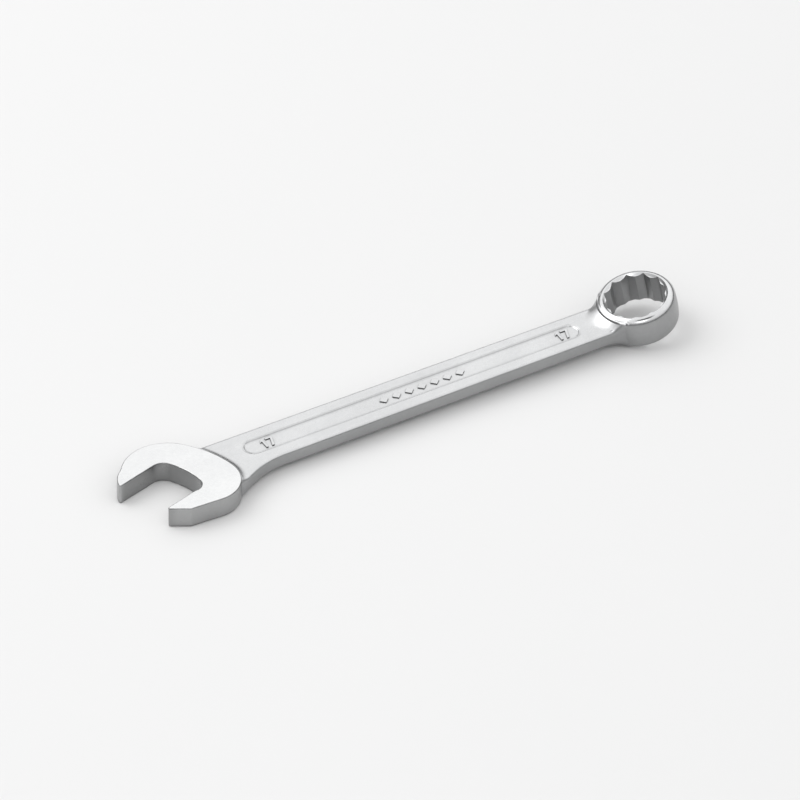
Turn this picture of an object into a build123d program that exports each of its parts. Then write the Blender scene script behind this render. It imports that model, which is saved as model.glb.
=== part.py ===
from build123d import *
from math import atan2, cos, degrees, radians, sin, tan
import os

# ---------------------------------------------------------------------------
# Combination wrench, 17 mm: an open end turned 15 degrees at one end of the
# shank and an inclined twelve-point ring at the other.
#
# The shank's own axis is the design axis.  The whole wrench is then pitched by
# the small angle at which it lies on a table, with the ring's lower rim and
# the tips of the open end both on Z = 0.
# All sizes in millimetres.
# ---------------------------------------------------------------------------

# Nominal size and clearance across the flats
nut_af = 17.0
af_clearance = 0.2
af = nut_af + af_clearance

# Layout along the design axis
centre_distance = 167.35       # nut centre of the open end to the ring centre
jaw_x = -84.55                 # open end, nut centre
jaw_y = -3.5
ring_x = jaw_x + centre_distance
head_angle = 15.0              # open end turned from the shank axis
ring_tilt = 10.0               # ring inclined from the shank plane
ring_rise = 1.75               # ring centre above the shank mid-plane

# Open end
jaw_thick = 6.8
jaw_edge = 0.35                # broken edge of the outline
tip_round = 0.6                # corners of the prong ends, in plan
shoulder_round = 10.0          # hollow where the long prong's end runs into the outline
throat_round = 4.4             # rounding behind the long prong
throat_round_turn = 70.0
throat_short_side = (10.1, -6.0)  # the relieved corner behind the short prong starts here
throat_flat_end = 4.9          # the long prong's flat ends this far behind the nut centre
short_flat_end = 5.4

# Outline of the open end, in its own axes: x from the nut centre towards the
# shank, y towards the long prong
long_tip = (-9.1, af / 2)
long_shoulder = (-3.4, 14.1)
long_end = (-7.0, 12.0)        # the long prong's end is rounded in plan
short_tip = (-6.95, -af / 2)
short_shoulder = (-1.4, -14.05)
outline_start_angle = 41.2
outline_arcs = [(14.09, 102.8), (33.47, 32.0), (10.6, 100.5)]

# Shank
shank_thick = 4.8
shank_edge = 0.9
shank_half_jaw = 7.8          # half width where it leaves the open end
shank_half_ring = 7.0         # half width where it starts to flare
shank_start_x = -72.0
shank_root = (-66.8, -15.9)    # buried corner of the shank inside the head
flare_radius = 9.0             # plan radius from the shank's side into the ring
jaw_cove = 0.8                 # small radius under the head of the open end
jaw_side_radius = 28.0         # plan radius from the shank's near side towards the head
jaw_side_turn = 26.0
near_turn_x = -44.0            # where that radius starts

# Recessed panel on both faces of the shank
panel_width = 6.4
panel_depth = 0.45
panel_x0 = -54.0
panel_x1 = 62.0

# Raised marks on the panel floors
figure_height = 4.0
figure_rise = 0.3
figure_x = (-46.0, 56.5)
lozenge_x = 7.5
lozenge_pitch = 4.4
lozenge_count = 7

# Ring
ring_od = 24.1
ring_height = 11.0
ring_round = 2.2               # rounding of the outer rims
ring_bulge = 0.15              # the wall is slightly convex
lead_in = 0.6                  # depth of the cone at each mouth of the bore
mouth_r = 10.0                 # radius of that cone at the face
bore_turn = 15.0
bore_corner = 0.25

# ---------------------------------------------------------------------------
# Rest pitch: both lowest points of the design shape end on Z = 0
# ---------------------------------------------------------------------------
rim_centre_r = ring_od / 2 - ring_round
rim_centre_h = ring_height / 2 - ring_round


def ring_low_point(extra):
    """Lowest point of the ring for a further pitch of extra degrees."""
    a = radians(ring_tilt + extra)
    x = -rim_centre_r * cos(a) + rim_centre_h * sin(a)
    z = -rim_centre_r * sin(a) - rim_centre_h * cos(a) - ring_round
    return x, z


jaw_tip_x = jaw_x - 11.5       # tip of the long prong, along the design axis
rest_pitch = 0.0
for _ in range(20):
    a = radians(rest_pitch)
    low = ring_low_point(rest_pitch)[1] + ring_x * sin(a) + ring_rise * cos(a)
    tip = jaw_tip_x * sin(a) - jaw_thick / 2 * cos(a)
    rest_pitch += degrees(atan2(tip - low, ring_x - jaw_tip_x))
a = radians(rest_pitch)
base_z = -(jaw_tip_x * sin(a) - jaw_thick / 2 * cos(a))
print("rest pitch", round(rest_pitch, 3), "shank mid-plane height", round(base_z, 3))

# the middle of the bounding box, seen in plan, is the origin
box_x = 0.121
box_y = 1.251

WRENCH = Plane(
    origin=(box_x, box_y, base_z),
    x_dir=(cos(a), 0, sin(a)),
    z_dir=(-sin(a), 0, cos(a)),
)
JAW = Plane(WRENCH.location * Location((jaw_x, jaw_y, 0), (0, 0, head_angle)))
RING = Plane(WRENCH.location * Location((ring_x, 0, ring_rise), (0, -ring_tilt, 0)))

os.makedirs("parts", exist_ok=True)

# ---------------------------------------------------------------------------
# Open-end head: one flat forging with a long and a short prong
# ---------------------------------------------------------------------------
start_dir = (cos(radians(outline_start_angle)), sin(radians(outline_start_angle)))

with BuildPart() as head_blank:
    with BuildSketch(JAW.offset(-jaw_thick / 2)):
        with BuildLine():
            arc_1 = JernArc(long_shoulder, start_dir, outline_arcs[0][0], -outline_arcs[0][1])
            arc_2 = JernArc(arc_1 @ 1, arc_1 % 1, outline_arcs[1][0], -outline_arcs[1][1])
            arc_3 = JernArc(arc_2 @ 1, arc_2 % 1, outline_arcs[2][0], -outline_arcs[2][1])
            Line(arc_3 @ 1, short_shoulder)
            Line(short_shoulder, short_tip)
            Line(short_tip, long_tip)
            ThreePointArc(long_tip, long_end, long_shoulder)
        make_face()
    extrude(amount=jaw_thick)

with BuildPart() as open_end_head:
    add(head_blank.part)
    # the throat: two parallel flats, a large rounding behind the long prong,
    # a relieved corner behind the short one and a shallow curved base between
    with BuildSketch(JAW.offset(-jaw_thick)):
        with BuildLine():
            Line((-20, af / 2), (throat_flat_end, af / 2))
            behind_long = JernArc((throat_flat_end, af / 2), (1, 0), throat_round, -throat_round_turn)
            base_arc = TangentArc(behind_long @ 1, throat_short_side, tangent=behind_long % 1)
            TangentArc(base_arc @ 1, (short_flat_end, -af / 2), tangent=base_arc % 1)
            Line((short_flat_end, -af / 2), (-20, -af / 2))
            Line((-20, -af / 2), (-20, af / 2))
        make_face()
    extrude(amount=2 * jaw_thick, mode=Mode.SUBTRACT)
    # corners of the prong ends, seen in plan
    upright = open_end_head.edges().filter_by(Axis(JAW.origin, JAW.z_dir))
    shoulder = [e for e in upright if JAW.to_local_coords(e @ 0.5).Y > 13.0 and JAW.to_local_coords(e @ 0.5).X < -1.0]
    fillet(shoulder, radius=shoulder_round)
    upright = open_end_head.edges().filter_by(Axis(JAW.origin, JAW.z_dir))
    tips = [e for e in upright if JAW.to_local_coords(e @ 0.5).X < -1.0 and JAW.to_local_coords(e @ 0.5).Y < 10.0]
    fillet(tips, radius=tip_round)
    # broken edges all round both faces
    rims = open_end_head.faces().filter_by(Axis(JAW.origin, JAW.z_dir)).edges()
    fillet(rims, radius=jaw_edge)
open_end_head.part.label = "open_end_head"
export_step(open_end_head.part, "parts/open_end_head.step")

# ---------------------------------------------------------------------------
# Ring blank: a slightly convex wall with large roundings on both rims
# ---------------------------------------------------------------------------
hh = ring_height / 2
rr = ring_od / 2
corner = ring_round * (1 - cos(radians(45)))
with BuildPart() as ring_blank:
    with BuildSketch(Plane(RING.location * Location((0, 0, 0), (90, 0, 0)))):
        with BuildLine():
            Line((0, -hh), (rr - ring_round, -hh))
            ThreePointArc((rr - ring_round, -hh), (rr - corner, -hh + corner), (rr, -hh + ring_round))
            ThreePointArc((rr, -hh + ring_round), (rr + ring_bulge, 0), (rr, hh - ring_round))
            ThreePointArc((rr, hh - ring_round), (rr - corner, hh - corner), (rr - ring_round, hh))
            Line((rr - ring_round, hh), (0, hh))
            Line((0, hh), (0, -hh))
        make_face()
    revolve(axis=Axis(RING.origin, RING.z_dir))

# ---------------------------------------------------------------------------
# Ring head: the blank with a twelve-point bore and a lead-in at each mouth
# ---------------------------------------------------------------------------
point_r = af / 2 / cos(radians(30))
with BuildPart() as ring_head:
    add(ring_blank.part)
    with BuildSketch(RING.offset(-ring_height)) as star:
        RegularPolygon(radius=af / 2, side_count=6, major_radius=False, rotation=bore_turn)
        RegularPolygon(radius=af / 2, side_count=6, major_radius=False, rotation=bore_turn + 30)
        fillet(star.vertices(), radius=bore_corner)
    extrude(amount=2 * ring_height, mode=Mode.SUBTRACT)
    for side in (1, -1):
        with BuildSketch(RING.offset(side * (hh - lead_in))):
            Circle(mouth_r - lead_in)
        with BuildSketch(RING.offset(side * (hh + 0.01))):
            Circle(mouth_r + 0.01)
        loft(mode=Mode.SUBTRACT)
ring_head.part.label = "ring_head"
export_step(ring_head.part, "parts/ring_head.step")

# ---------------------------------------------------------------------------
# Shank: a tapering flat bar that flares into the ring
# ---------------------------------------------------------------------------
# the flare is tangent to the shank's side and to the ring's outline
flare_x = ring_x - ((rr + flare_radius) ** 2 - (shank_half_ring + flare_radius) ** 2) ** 0.5
taper = degrees(atan2(shank_half_jaw - shank_half_ring, flare_x - shank_start_x))
near_turn_y = shank_half_ring + (flare_x - near_turn_x) * tan(radians(taper))
flare_turn = degrees(atan2(ring_x - flare_x, shank_half_ring + flare_radius)) + taper

with BuildPart() as shank:
    with BuildSketch(WRENCH.offset(-shank_thick / 2)):
        with BuildLine():
            far = Line((shank_start_x, shank_half_jaw), (flare_x, shank_half_ring))
            flare_far = JernArc(far @ 1, far % 1, flare_radius, flare_turn)
            near = Line((near_turn_x, -near_turn_y), (flare_x, -shank_half_ring))
            flare_near = JernArc(near @ 1, near % 1, flare_radius, -flare_turn)
            root = JernArc(near @ 0, (near % 0) * -1, jaw_side_radius, jaw_side_turn)
            Line(root @ 1, shank_root)
            Line(shank_root, far @ 0)
            Line(flare_far @ 1, flare_near @ 1)
        make_face()
    extrude(amount=shank_thick)
    # the rounded long edges
    sides = [
        e
        for e in shank.edges()
        if abs(WRENCH.to_local_coords(e @ 0.0).Z - WRENCH.to_local_coords(e @ 1.0).Z) < 1e-5
        and abs(WRENCH.to_local_coords(e @ 0.5).Y) > 3.0
        and WRENCH.to_local_coords(e @ 0.5).X > shank_start_x + 1.0
        and WRENCH.to_local_coords(e @ 0.5).X < ring_x - 2.0
    ]
    fillet(sides, radius=shank_edge)
    add(head_blank.part)
    # a small cove where the thinner shank runs into the side of the head
    cove = [
        e
        for e in shank.edges()
        if head_blank.part.distance_to(Vertex(*(e @ 0.5))) < 1e-4
        and abs(WRENCH.to_local_coords(e @ 0.5).Z) < shank_thick / 2 + 1e-4
        and abs(WRENCH.to_local_coords(e @ 0.5).Y) < 16
        and WRENCH.to_local_coords(e @ 0.5).X > -75
    ]
    fillet(cove, radius=jaw_cove)
    add(head_blank.part, mode=Mode.SUBTRACT)
    add(ring_blank.part, mode=Mode.SUBTRACT)
    # the recessed panel on each face, with sloping walls
    for side in (1, -1):
        with BuildSketch(WRENCH.offset(side * (shank_thick / 2 - panel_depth))):
            with Locations(((panel_x0 + panel_x1) / 2, 0)):
                SlotOverall(panel_x1 - panel_x0 - 2 * panel_depth, panel_width - 2 * panel_depth)
        with BuildSketch(WRENCH.offset(side * (shank_thick / 2 + 0.02))):
            with Locations(((panel_x0 + panel_x1) / 2, 0)):
                SlotOverall(panel_x1 - panel_x0 + 0.04, panel_width + 0.04)
        loft(mode=Mode.SUBTRACT)
shank.part.label = "shank"
export_step(shank.part, "parts/shank.step")
print("shank solids", len(shank.part.solids()), "volume", round(shank.part.volume, 1))

# ---------------------------------------------------------------------------
# Raised marks on the floor of each panel: the size figures at both ends and a
# plain row of lozenges in the middle
# ---------------------------------------------------------------------------
floor_z = shank_thick / 2 - panel_depth


def figure_one(height):
    """Outline of the figure 1, drawn upright about its own centre."""
    h = height / 2
    return [(-0.75, h - 1.0), (0.05, h), (0.5, h), (0.5, -h), (-0.15, -h), (-0.15, h - 0.95), (-0.75, h - 1.45)]


def figure_seven(height):
    """Outline of the figure 7, drawn upright about its own centre."""
    h = height / 2
    return [(-1.15, h), (1.15, h), (1.15, h - 0.6), (0.1, -h), (-0.65, -h), (0.4, h - 0.65), (-1.15, h - 0.65)]


with BuildPart() as size_figures:
    for side in (1, -1):
        for x in figure_x:
            base = WRENCH.location * Location((x, 0, side * floor_z), (0, 0 if side > 0 else 180, 0))
            for dx, outline in ((-1.3, figure_one(figure_height)), (1.15, figure_seven(figure_height))):
                with BuildSketch(Plane(base * Location((dx, 0, 0)))):
                    with BuildLine():
                        Polyline(*outline, close=True)
                    make_face()
                extrude(amount=figure_rise)
size_figures.part.label = "size_figures"
export_step(size_figures.part, "parts/size_figures.step")

with BuildPart() as panel_lozenges:
    for side in (1, -1):
        base = WRENCH.location * Location((lozenge_x, 0, side * floor_z), (0, 0 if side > 0 else 180, 0))
        with BuildSketch(Plane(base)):
            with GridLocations(lozenge_pitch, 0, lozenge_count, 1):
                Polygon((-1.5, 0), (0, -1.45), (1.5, 0), (0, 1.45))
        extrude(amount=figure_rise)
panel_lozenges.part.label = "panel_lozenges"
export_step(panel_lozenges.part, "parts/panel_lozenges.step")
print("figures", len(size_figures.part.solids()), "lozenges", len(panel_lozenges.part.solids()))
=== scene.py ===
import math

import bmesh
import bpy
import numpy as np
from mathutils import Matrix, Vector


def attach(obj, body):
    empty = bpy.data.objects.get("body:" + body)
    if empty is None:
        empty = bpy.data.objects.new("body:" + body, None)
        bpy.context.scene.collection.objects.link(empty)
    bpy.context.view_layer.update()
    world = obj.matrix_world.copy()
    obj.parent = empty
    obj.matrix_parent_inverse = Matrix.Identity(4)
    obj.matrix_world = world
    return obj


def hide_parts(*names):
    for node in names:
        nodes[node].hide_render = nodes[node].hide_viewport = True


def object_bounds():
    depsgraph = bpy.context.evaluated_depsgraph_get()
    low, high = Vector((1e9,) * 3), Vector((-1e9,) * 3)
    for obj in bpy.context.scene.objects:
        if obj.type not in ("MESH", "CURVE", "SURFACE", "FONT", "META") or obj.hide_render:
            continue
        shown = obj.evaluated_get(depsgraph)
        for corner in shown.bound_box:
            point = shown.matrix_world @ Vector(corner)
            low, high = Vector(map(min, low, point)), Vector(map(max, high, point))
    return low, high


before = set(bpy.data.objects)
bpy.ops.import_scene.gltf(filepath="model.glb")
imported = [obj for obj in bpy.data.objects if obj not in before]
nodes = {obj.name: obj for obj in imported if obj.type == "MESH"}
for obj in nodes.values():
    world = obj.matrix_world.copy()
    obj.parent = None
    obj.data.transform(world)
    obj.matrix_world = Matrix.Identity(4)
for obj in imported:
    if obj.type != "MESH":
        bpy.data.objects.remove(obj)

cad_lo, cad_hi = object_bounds()

# ---------------------------------------------------------------------------
# Small node helpers
# ---------------------------------------------------------------------------


class Graph:
    def __init__(self, tree):
        self.tree = tree
        self.column = 0

    def add(self, kind, **settings):
        n = self.tree.nodes.new(kind)
        n.location = (self.column * 40 - 1600, (self.column * 97) % 600)
        self.column += 1
        for k, v in settings.items():
            setattr(n, k, v)
        return n

    def link(self, a, b):
        self.tree.links.new(a, b)

    def math(self, op, a, b=None, c=None, clamp=False):
        n = self.add("ShaderNodeMath", operation=op, use_clamp=clamp)
        for i, v in enumerate((a, b, c)):
            if v is None:
                continue
            if isinstance(v, (int, float)):
                n.inputs[i].default_value = v
            else:
                self.link(v, n.inputs[i])
        return n.outputs[0]

    def remap(self, value, a, b, c, d, smooth=False):
        n = self.add("ShaderNodeMapRange")
        if smooth:
            n.interpolation_type = "SMOOTHSTEP"
        self.link(value, n.inputs["Value"])
        for name, v in zip(("From Min", "From Max", "To Min", "To Max"), (a, b, c, d)):
            n.inputs[name].default_value = v
        return n.outputs["Result"]

    def noise(self, vector, scale, detail=2.0, rough=0.5, distortion=0.0):
        n = self.add("ShaderNodeTexNoise")
        self.link(vector, n.inputs["Vector"])
        n.inputs["Scale"].default_value = scale
        n.inputs["Detail"].default_value = detail
        n.inputs["Roughness"].default_value = rough
        n.inputs["Distortion"].default_value = distortion
        return n.outputs["Fac"]

    def mapped(self, vector, rotation=(0, 0, 0), scale=(1, 1, 1), location=(0, 0, 0)):
        n = self.add("ShaderNodeMapping")
        self.link(vector, n.inputs["Vector"])
        n.inputs["Location"].default_value = location
        n.inputs["Rotation"].default_value = rotation
        n.inputs["Scale"].default_value = scale
        return n.outputs["Vector"]

    def tone(self, shade, dark, light):
        """A colour between dark and light."""
        n = self.add("ShaderNodeMix", data_type="RGBA")
        self.link(shade, n.inputs["Factor"])
        n.inputs["A"].default_value = (*dark, 1)
        n.inputs["B"].default_value = (*light, 1)
        return n.outputs["Result"]

    def bump(self, height, distance, strength=1.0, normal=None):
        n = self.add("ShaderNodeBump")
        self.link(height, n.inputs["Height"])
        n.inputs["Distance"].default_value = distance
        n.inputs["Strength"].default_value = strength
        if normal is not None:
            self.link(normal, n.inputs["Normal"])
        return n.outputs["Normal"]


# ---------------------------------------------------------------------------
# Materials: chrome plate over forged steel, in a few finishes
# ---------------------------------------------------------------------------


def chrome(name, dark, light, rough, grain, waves, upright_shade=0.8, corner_shade=0.5, lines=None, socket_light_and_shade=None, side_rough=0.07, edge_shade=None):
    """Chrome plate.  grain and waves are bump heights in metres; upright_shade is how
    much darker the upright sides are painted than the level faces (painted shade, partly a duller forged finish);
    lines is (rotation, scale, height) of fine dressing marks; bore is (centre, axis, inner
    radius, outer radius, tone) of a socket whose broached wall gets painted shade for a tone below 1 and painted light
    for a tone above 1; broken is (least, most, loss, last x) for a painted shade line along rounded edges, told by how
    far the surface leans from level."""
    m = bpy.data.materials.new(name)
    m.use_nodes = True
    g = Graph(m.node_tree)
    shader = m.node_tree.nodes["Principled BSDF"]
    shader.inputs["Metallic"].default_value = 1.0
    place = g.add("ShaderNodeTexCoord").outputs["Object"]
    normal = g.add("ShaderNodeNewGeometry").outputs["Normal"]
    split = g.add("ShaderNodeSeparateXYZ")
    g.link(normal, split.inputs[0])
    level = g.math("ABSOLUTE", split.outputs["Z"])

    # tone: broad clouds, finer mottling and a few tiny dull pits
    cloud = g.noise(place, 70, 3, 0.55)
    mottle = g.noise(place, 900, 4, 0.6)
    shade = g.math("ADD", g.remap(cloud, 0.3, 0.7, 0.35, 0.75), g.remap(mottle, 0.3, 0.7, -0.14, 0.14))
    pits = g.add("ShaderNodeTexVoronoi", feature="F1")
    g.link(place, pits.inputs["Vector"])
    pits.inputs["Scale"].default_value = 520
    pits.inputs["Randomness"].default_value = 1.0
    pit = g.remap(pits.outputs["Distance"], 0.05, 0.13, 1.0, 0.0, smooth=True)
    sparse = g.remap(g.noise(place, 210, 2), 0.55, 0.68, 0.0, 1.0, smooth=True)
    pit = g.math("MULTIPLY", pit, sparse)
    shade = g.math("SUBTRACT", shade, g.math("MULTIPLY", pit, 0.35))

    # painted shade on the upright sides: base colour darker where the surface stands upright, partly for their duller
    # forged finish
    upright_shading = g.remap(level, 0.35, 0.93, upright_shade, 1.0, smooth=True)
    # painted shade in corners and creases: base colour darkened where ambient occlusion is high
    shelter = g.add("ShaderNodeAmbientOcclusion", samples=12)
    shelter.inputs["Distance"].default_value = 0.0011
    corner_shading = g.remap(shelter.outputs["AO"], 0.45, 0.95, 1.0 - corner_shade, 1.0)
    tint = g.tone(g.math("MULTIPLY", shade, 1.0, clamp=True), dark, light)
    scale = g.add("ShaderNodeVectorMath", operation="SCALE")
    g.link(tint, scale.inputs[0])
    painted_light_and_shade = g.math("MULTIPLY", upright_shading, corner_shading)
    # painted shade darkens the jaw's throat walls; painted light lifts the wall of the ring's hole above its plain
    # tone
    if socket_light_and_shade:
        centre, axis, r0, r1, tone = socket_light_and_shade
        off = g.add("ShaderNodeVectorMath", operation="SUBTRACT")
        g.link(place, off.inputs[0])
        off.inputs[1].default_value = centre
        arm = g.add("ShaderNodeVectorMath", operation="CROSS_PRODUCT")
        g.link(off.outputs[0], arm.inputs[0])
        arm.inputs[1].default_value = axis
        reach = g.add("ShaderNodeVectorMath", operation="LENGTH")
        g.link(arm.outputs[0], reach.inputs[0])
        socket = g.remap(reach.outputs["Value"], r0, r1, tone, 1.0, smooth=True)
        walls = g.remap(level, 0.4, 0.75, 0.0, 1.0, smooth=True)
        painted_light_and_shade = g.math("MULTIPLY", painted_light_and_shade, g.math("MAXIMUM", socket, walls))
    # painted shade: a darker, patchy line along the rounded edges, picked out by how far the surface leans from level
    if edge_shade:
        least, most, loss, last = edge_shade
        band = g.math("MULTIPLY", g.remap(level, least - 0.06, least + 0.06, 0.0, 1.0, smooth=True),
                      g.remap(level, most - 0.03, most + 0.015, 1.0, 0.0, smooth=True))
        along = g.add("ShaderNodeSeparateXYZ")
        g.link(place, along.inputs[0])
        band = g.math("MULTIPLY", band, g.remap(along.outputs["X"], last - 0.004, last, 1.0, 0.0, smooth=True))
        patchy = g.remap(g.noise(place, 380, 2, 0.5), 0.35, 0.65, 0.75 * loss, 1.1 * loss)
        painted_light_and_shade = g.math("MULTIPLY", painted_light_and_shade, g.math("SUBTRACT", 1.0, g.math("MULTIPLY", band, patchy)))
    # the painted light and shade scale the base colour
    g.link(painted_light_and_shade, scale.inputs["Scale"])
    g.link(scale.outputs[0], shader.inputs["Base Color"])

    # roughness: satin, rougher on the sides, in the pits and in the corners
    fine = g.noise(place, 3200, 2, 0.5)
    smear = g.noise(g.mapped(place, (0, 0, 0.35), (60, 260, 120)), 1.0, 3, 0.6)
    r = g.math("ADD", g.remap(fine, 0.3, 0.7, rough - 0.035, rough + 0.035), g.remap(smear, 0.35, 0.65, -0.03, 0.04))
    r = g.math("ADD", r, g.math("MULTIPLY", pit, 0.2))
    r = g.math("ADD", r, g.remap(level, 0.35, 0.93, side_rough, 0.0, smooth=True))
    r = g.math("ADD", r, g.remap(shelter.outputs["AO"], 0.4, 0.95, 0.15, 0.0), clamp=True)
    g.link(r, shader.inputs["Roughness"])

    # relief: forging waves, satin grain, pits, dressing marks
    height = g.bump(g.noise(place, 260, 2, 0.5), waves)
    height = g.bump(fine, grain, normal=height)
    height = g.bump(g.math("MULTIPLY", pit, -1.0), 0.000012, normal=height)
    if lines:
        rotation, scale_, depth = lines
        marks = g.noise(g.mapped(place, rotation, scale_), 1.0, 3, 0.65)
        marks = g.math("MULTIPLY", marks, g.remap(level, 0.85, 0.98, 0.0, 1.0))
        height = g.bump(marks, depth, normal=height)
    g.link(height, shader.inputs["Normal"])
    return m


RING_CENTRE = (0.082894, 0.001251, 0.007268)
RING_AXIS = (-0.18531, 0.0, 0.98268)
NUT_CENTRE = (-0.084423, -0.002249, 0.003535)
head_mat = chrome("chrome_head", (0.66, 0.665, 0.67), (0.78, 0.785, 0.785), 0.24, 0.000003, 0.000010,
                  upright_shade=0.56, corner_shade=0.45, lines=((0, 0, math.radians(15)), (160, 5200, 160), 0.0000025),
                  socket_light_and_shade=(NUT_CENTRE, (0, 0, 1), 0.0108, 0.0122, 0.78), edge_shade=(0.30, 0.965, 0.60, 1.0))
shank_mat = chrome("chrome_shank", (0.54, 0.545, 0.55), (0.68, 0.685, 0.69), 0.28, 0.000006, 0.000020,
                   upright_shade=0.60, corner_shade=0.65)
ring_mat = chrome("chrome_ring", (0.58, 0.585, 0.59), (0.72, 0.725, 0.73), 0.15, 0.000002, 0.000008,
                  upright_shade=0.57, corner_shade=0.5, socket_light_and_shade=(RING_CENTRE, RING_AXIS, 0.0099, 0.0101, 1.05), side_rough=0.20)
mark_mat = chrome("chrome_marks", (0.54, 0.545, 0.55), (0.68, 0.685, 0.69), 0.25, 0.000004, 0.000008,
                  upright_shade=0.5, corner_shade=0.62)

for node, mat in (("open_end_head", head_mat), ("shank", shank_mat), ("ring_head", ring_mat),
                  ("size_figures", mark_mat), ("panel_lozenges", mark_mat)):
    for s in nodes[node].material_slots:
        s.material = mat

# ---------------------------------------------------------------------------
# The shank as it is forged: one skin with soft webs up to the ring and a cove
# under the open-end head.  Design axes, millimetres: x along the shank,
# z up from its mid-plane.
# ---------------------------------------------------------------------------
PITCH = math.radians(0.679)
HOME = np.array((0.121, 1.251, 4.537))
AXES = np.array(((math.cos(PITCH), 0, math.sin(PITCH)), (0, 1, 0), (-math.sin(PITCH), 0, math.cos(PITCH))))

JAW_X, JAW_Y, HEAD_TURN = -84.55, -3.5, math.radians(15)
RING_X, RING_Z, RING_TILT = 82.8, 1.75, math.radians(10)
RING_R, RING_HALF, RING_ROUND = 12.05, 5.5, 2.2
HALF_THICK, EDGE = 2.4, 0.9
PANEL_X0, PANEL_X1, PANEL_HALF, PANEL_DEPTH = -54.0, 62.0, 3.2, 0.45
FLARE_X = RING_X - math.sqrt((RING_R + 9.0) ** 2 - 16.0 ** 2)
TAPER = 0.8 / (FLARE_X + 72.0)


def to_row(p):
    """Design millimetres to row-frame metres."""
    return (HOME + np.asarray(p) @ AXES) / 1000.0


def smooth(t):
    t = np.clip(t, 0, 1)
    return t * t * (3 - 2 * t)


def head_outline():
    """The open-end head's outline in plan, from the long prong's shoulder round the back."""
    p, way = np.array((-3.4, 14.1)), math.radians(41.2)
    points = [p]
    for radius, turn in ((14.09, 102.8), (33.47, 32.0), (10.6, 100.5)):
        turn = math.radians(turn)
        centre = p + radius * np.array((math.sin(way), -math.cos(way)))
        for k in range(1, 41):
            a = way - turn * k / 40
            points.append(centre - radius * np.array((math.sin(a), -math.cos(a))))
        p, way = points[-1], way - turn
    points += [np.array((-1.4, -14.05)), np.array((-7.0, -8.6)), np.array((-9.1, 8.6)), np.array((-7.0, 12.0))]
    c, s = math.cos(HEAD_TURN), math.sin(HEAD_TURN)
    return np.array([(JAW_X + c * x - s * y, JAW_Y + s * x + c * y) for x, y in points])


OUTLINE = head_outline()


def head_distance(x, y):
    """Plan distance outside the head's outline, negative inside."""
    p = np.stack([x.ravel(), y.ravel()], 1)
    a, b = OUTLINE, np.roll(OUTLINE, -1, 0)
    best = np.full(len(p), 1e9)
    inside = np.zeros(len(p), bool)
    for s, e in zip(a, b):
        d = e - s
        t = np.clip(((p - s) @ d) / max(d @ d, 1e-12), 0, 1)
        best = np.minimum(best, np.hypot(*(p - s - t[:, None] * d).T))
        cross = (s[1] > p[:, 1]) != (e[1] > p[:, 1])
        with np.errstate(divide="ignore", invalid="ignore"):
            at = s[0] + (p[:, 1] - s[1]) * d[0] / d[1]
        inside ^= cross & (p[:, 0] < at)
    return np.where(inside, -best, best).reshape(x.shape)


def ring_rim(x, y, side):
    """Height of the ring's outside above the shank's mid-plane on one side, carried on
    as a falling web outside it, and how far inside that web's start a point is."""
    t, cz = RING_TILT * side, RING_Z * side
    steep = np.radians(31 + 30 * np.clip(y / 8.6, -1, 1) ** 2)
    core = RING_R - RING_ROUND
    leave = core + RING_ROUND * np.sin(steep)
    fall = np.tan(steep)
    z = np.full(x.shape, 4.0)
    for _ in range(25):
        u = (x - RING_X) * math.cos(t) + (z - cz) * math.sin(t)
        rho = np.hypot(u, y)
        on = np.clip(rho - core, 0, leave - core)
        z_local = RING_HALF - RING_ROUND + np.sqrt(RING_ROUND ** 2 - on ** 2) - np.clip(rho - leave, 0, None) * fall
        z = 0.5 * z + 0.5 * (cz + (z_local + (x - RING_X) * math.sin(t)) / math.cos(t))
    return z, leave - rho


def top(x, y, side):
    """Height of the shank's skin over its mid-plane on one side, edges not rounded."""
    z = np.full(x.shape, HALF_THICK)
    # cove under the head
    d = head_distance(x, y)
    radius, rise = 4.0, 0.80
    reach = math.sqrt(radius ** 2 - (radius - rise) ** 2)
    k = np.clip(reach - d, 0, reach)
    z = z + radius - np.sqrt(radius ** 2 - k ** 2)
    # sunk panel with softened walls
    mid = np.clip(x, PANEL_X0 + PANEL_HALF, PANEL_X1 - PANEL_HALF)
    slot = np.hypot(x - mid, y) - PANEL_HALF
    z = z - PANEL_DEPTH * smooth(-slot / 0.5) - 0.13 * np.exp(-((slot - 0.14) / 0.15) ** 2)
    # web up to the ring
    rim, within = ring_rim(x, y, side)
    blend = 3.6 - 1.8 * np.clip(y / 8.6, -1, 1) ** 2
    h = np.clip(1 - np.abs(z - rim) / blend, 0, 1)
    web = np.maximum(z, rim) + blend * h ** 2 / 4
    web = web - np.where(within > -0.15, 0.10 * np.clip(within + 0.15, 0, None) ** 2 + 0.012 * smooth((within + 0.15) / 0.3), 0)
    return np.where(x > 52, web, z)


def half_width(x, near):
    """Plan half width of the shank at design x, near or far side."""
    w = 7.0 + (FLARE_X - x) * TAPER
    k = np.clip(x - FLARE_X, 0, 9.0 * math.sin(math.radians(49.47)))
    w = np.where(x > FLARE_X, 16.0 - np.sqrt(81.0 - k ** 2), w)
    if near:
        slope = math.atan(TAPER)
        k = np.clip(-44.0 - x, 0, 28.0 * math.sin(math.radians(26)))
        bend = 28.0 - np.sqrt(784.0 - k ** 2)
        straight = np.clip(-44.0 - x - 28.0 * math.sin(math.radians(26)), 0, None) * math.tan(math.radians(26) + slope)
        w = w + bend + straight
        w = np.minimum(w, 13.6)
    return w


TURN_IN = RING_X - RING_R * math.cos(math.radians(49.47))   # where the flare meets the ring
END_R = 10.95


def stations():
    x = [-69.0]
    while x[-1] < TURN_IN + 0.6:
        here = x[-1]
        if here < -56:
            step = 0.22
        elif here < -49.5 or 57.5 < here < 63:
            step = 0.16
        elif here > 63:
            step = 0.17
        else:
            step = 0.8
        x.append(here + step)
    return np.array(x)


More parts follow.
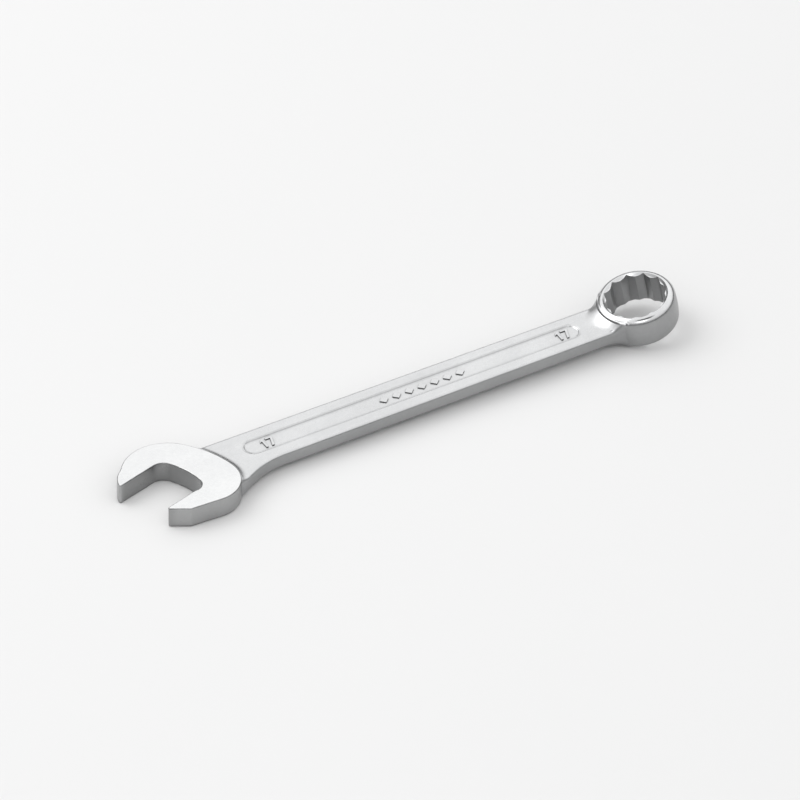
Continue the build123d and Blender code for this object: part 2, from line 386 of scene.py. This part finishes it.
def lateral(w_near, w_far):
    """Lateral places of one section's top, from the near side to the far side."""
    core = np.concatenate([np.arange(0, 2.55, 0.28), np.arange(2.62, 3.7, 0.07), [3.8, 4.0]])
    def wing(w):
        out = 4.0 + (w - EDGE - 4.0) * np.linspace(0, 1, 15)[1:]
        return np.concatenate([core, out])
    return np.concatenate([-wing(w_near)[::-1], wing(w_far)[1:]])


def forged_shank():
    xs = stations()
    arc = np.sin(np.linspace(0, math.pi / 2, 8)) * EDGE
    arc_drop = EDGE - np.sqrt(np.maximum(EDGE ** 2 - arc ** 2, 0))
    loops = []
    for xe in xs:
        turn_in = max(0.0, xe - TURN_IN)
        shrink = 1.35 * smooth(turn_in / 0.6) * 1.0
        w_near = float(half_width(np.array(min(xe, TURN_IN)), True)) - shrink
        w_far = float(half_width(np.array(min(xe, TURN_IN)), False)) - shrink
        bow = float(smooth((xe - 58.0) / (TURN_IN - 58.0)))

        def place(y, w):
            y = np.asarray(y, float)
            sag = np.sqrt(np.maximum(END_R ** 2 - y ** 2, 0)) - math.sqrt(max(END_R ** 2 - w ** 2, 0))
            return xe - bow * sag if bow > 0 else np.full(y.shape, xe)

        rows = {}
        for side in (1, -1):
            y = lateral(w_near, w_far)
            y = np.concatenate([-(w_near - EDGE) - arc[:0:-1], y, (w_far - EDGE) + arc[1:]])
            drop = np.zeros(len(y))
            n = len(arc) - 1
            drop[:n] = arc_drop[:0:-1]
            drop[-n:] = arc_drop[1:]
            x = place(y, (w_near + w_far) / 2)
            rows[side] = (x, y, side, drop)
        loops.append(rows)
    # heights for all points at once
    out = []
    for side in (1, -1):
        x = np.array([r[side][0] for r in loops])
        y = np.array([r[side][1] for r in loops])
        drop = np.array([r[side][3] for r in loops])
        z = (top(x, y, side) - drop) * side
        out.append(np.stack([x, y, z], -1))
    upper, lower = out[0], out[1][:, ::-1]
    # side walls between the rounded edges
    def wall(a, b):
        t = np.linspace(0, 1, 6)[1:-1]
        return a[:, None] * (1 - t)[None, :, None] + b[:, None] * t[None, :, None]
    ring = np.concatenate([upper, wall(upper[:, -1], lower[:, 0]), lower, wall(lower[:, -1], upper[:, 0])], 1)
    # the flare follows the inclined ring at every height
    lean = smooth((ring[..., 0] - 60.0) / 8.0)
    shift = -(ring[..., 2] - RING_Z) * math.tan(RING_TILT)
    for sign, near in ((1, False), (-1, True)):
        on = ring[..., 1] * sign > 4.0
        x = ring[..., 0]
        base = half_width(np.minimum(x, TURN_IN), near)
        moved = half_width(np.minimum(x - shift * lean, TURN_IN), near)
        share = np.clip((np.abs(ring[..., 1]) - 4.0) / 4.0, 0, 1)
        ring[..., 1] += np.where(on & (x > 60), sign * (moved - base) * share, 0)
    return ring


def skin(name, ring, material):
    """A closed mesh from rings of points, capped at both ends."""
    n, m = ring.shape[:2]
    bm = bmesh.new()
    verts = [bm.verts.new(p) for p in to_row(ring.reshape(-1, 3))]
    for i in range(n - 1):
        for j in range(m):
            k = (j + 1) % m
            bm.faces.new((verts[i * m + j], verts[i * m + k], verts[(i + 1) * m + k], verts[(i + 1) * m + j]))
    # each end is closed by strips from the upper skin to the lower, because it is curved
    u = (m - 8) // 2
    strips = [(j, j + 1, 2 * u + 2 - j, 2 * u + 3 - j) for j in range(u - 1)]
    strips += [tuple(range(u - 1, u + 5)), tuple(range(2 * u + 3, 2 * u + 8)) + (0,)]
    for start in (0, (n - 1) * m):
        for strip in strips:
            bm.faces.new([verts[start + j] for j in strip])
    bmesh.ops.recalc_face_normals(bm, faces=bm.faces)
    for f in bm.faces:
        f.smooth = True
    me = bpy.data.meshes.new(name)
    bm.to_mesh(me)
    bm.free()
    me.materials.append(material)
    o = bpy.data.objects.new(name, me)
    bpy.context.collection.objects.link(o)
    return o


shank_skin = skin("shank_forging", forged_shank(), shank_mat)
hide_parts("shank")
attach(shank_skin, "root")

# ---------------------------------------------------------------------------
# Stage: a plain pale floor
# ---------------------------------------------------------------------------
me = bpy.data.meshes.new("floor")
bm = bmesh.new()
bmesh.ops.create_grid(bm, x_segments=8, y_segments=8, size=4.0)
bm.to_mesh(me)
bm.free()
floor = bpy.data.objects.new("floor", me)
floor.location.z = cad_lo.z - 0.00002
bpy.context.collection.objects.link(floor)
paper = bpy.data.materials.new("floor_paper")
paper.use_nodes = True
g = Graph(paper.node_tree)
shader = paper.node_tree.nodes["Principled BSDF"]
shader.inputs["Roughness"].default_value = 0.9
shader.inputs["Specular IOR Level"].default_value = 0.1
place = g.add("ShaderNodeTexCoord").outputs["Object"]
g.link(g.tone(g.noise(place, 3.0, 2), (0.70, 0.70, 0.70), (0.72, 0.72, 0.72)), shader.inputs["Base Color"])
me.materials.append(paper)

# ---------------------------------------------------------------------------
# Light: a soft tent, with one broad softbox for a gentle shadow
# ---------------------------------------------------------------------------
world = bpy.data.worlds.new("tent")
bpy.context.scene.world = world
world.use_nodes = True
g = Graph(world.node_tree)
back = world.node_tree.nodes["Background"]
way = g.add("ShaderNodeTexCoord").outputs["Generated"]
split = g.add("ShaderNodeSeparateXYZ")
g.link(way, split.inputs[0])
ramp = g.add("ShaderNodeValToRGB")
g.link(split.outputs["Z"], ramp.inputs["Fac"])
e = ramp.color_ramp.elements
e[0].position, e[0].color = 0.0, (0.06, 0.06, 0.06, 1)
e[1].position, e[1].color = 1.0, (0.90, 0.90, 0.90, 1)
for pos, v in ((0.20, 0.10), (0.40, 0.84), (0.6, 0.96)):
    k = e.new(pos)
    k.color = (v, v, v, 1)


def panel(azimuth, elevation, inner, outer, level):
    """A round panel of the tent: 0 outside it, level inside.  Angles in degrees."""
    az, el = math.radians(azimuth), math.radians(elevation)
    dot = g.add("ShaderNodeVectorMath", operation="DOT_PRODUCT")
    g.link(way, dot.inputs[0])
    dot.inputs[1].default_value = (math.sin(az) * math.cos(el), -math.cos(az) * math.cos(el), math.sin(el))
    return g.remap(dot.outputs["Value"], math.cos(math.radians(outer)), math.cos(math.radians(inner)), 0.0, level, smooth=True)


# a black card nearly overhead and a small bright box above the camera
card = g.math("SUBTRACT", 1.0, panel(-30, 74, 9, 17, 0.88))
front = panel(-30, 50, 7, 14, 2.0)
far = panel(150, 40, 10, 30, 0.05)
sky = g.add("ShaderNodeVectorMath", operation="SCALE")
g.link(ramp.outputs["Color"], sky.inputs[0])
g.link(g.math("MULTIPLY", g.math("ADD", g.math("ADD", front, far), 1.0), card), sky.inputs["Scale"])
g.link(sky.outputs[0], back.inputs["Color"])
back.inputs["Strength"].default_value = 1.28


def softbox(name, at, aim, size, power):
    data = bpy.data.lights.new(name, "AREA")
    data.shape = "RECTANGLE"
    data.size, data.size_y = size
    data.energy = power
    o = bpy.data.objects.new(name, data)
    o.location = at
    o.rotation_euler = (Vector(aim) - Vector(at)).to_track_quat("-Z", "Y").to_euler()
    bpy.context.collection.objects.link(o)
    o.visible_camera = False
    return o


softbox("key_box", (-0.7, 0.75, 1.2), (0, 0, 0), (1.1, 1.1), 7.5)

# ---------------------------------------------------------------------------
# Camera: the photograph's angle, long lens
# ---------------------------------------------------------------------------
pitch = math.radians(0.679)
tilt = Matrix.Rotation(-pitch, 3, "Y")       # design axes to table axes
azimuth, elevation = math.radians(-30.2), math.radians(38.7)
back_way = Vector((math.sin(azimuth) * math.cos(elevation), -math.cos(azimuth) * math.cos(elevation), math.sin(elevation)))
right_way = Vector((math.cos(azimuth), math.sin(azimuth), 0))
back_way, right_way = tilt @ back_way, tilt @ right_way
up_way = back_way.cross(right_way)
aim = Vector((0.000121, 0.001051, 0.004537)) - 0.00021 * right_way - 0.00008 * up_way
distance = 8.0
cam_data = bpy.data.cameras.new("camera")
cam_data.sensor_width = 36
cam_data.lens = 36 * distance / 0.2402
cam_data.clip_start, cam_data.clip_end = 0.05, 50
cam = bpy.data.objects.new("camera", cam_data)
cam.matrix_world = Matrix((
    (right_way.x, up_way.x, back_way.x, aim.x + distance * back_way.x),
    (right_way.y, up_way.y, back_way.y, aim.y + distance * back_way.y),
    (right_way.z, up_way.z, back_way.z, aim.z + distance * back_way.z),
    (0, 0, 0, 1)))
bpy.context.collection.objects.link(cam)
bpy.context.scene.camera = cam
bpy.context.scene.view_settings.view_transform = "Standard"
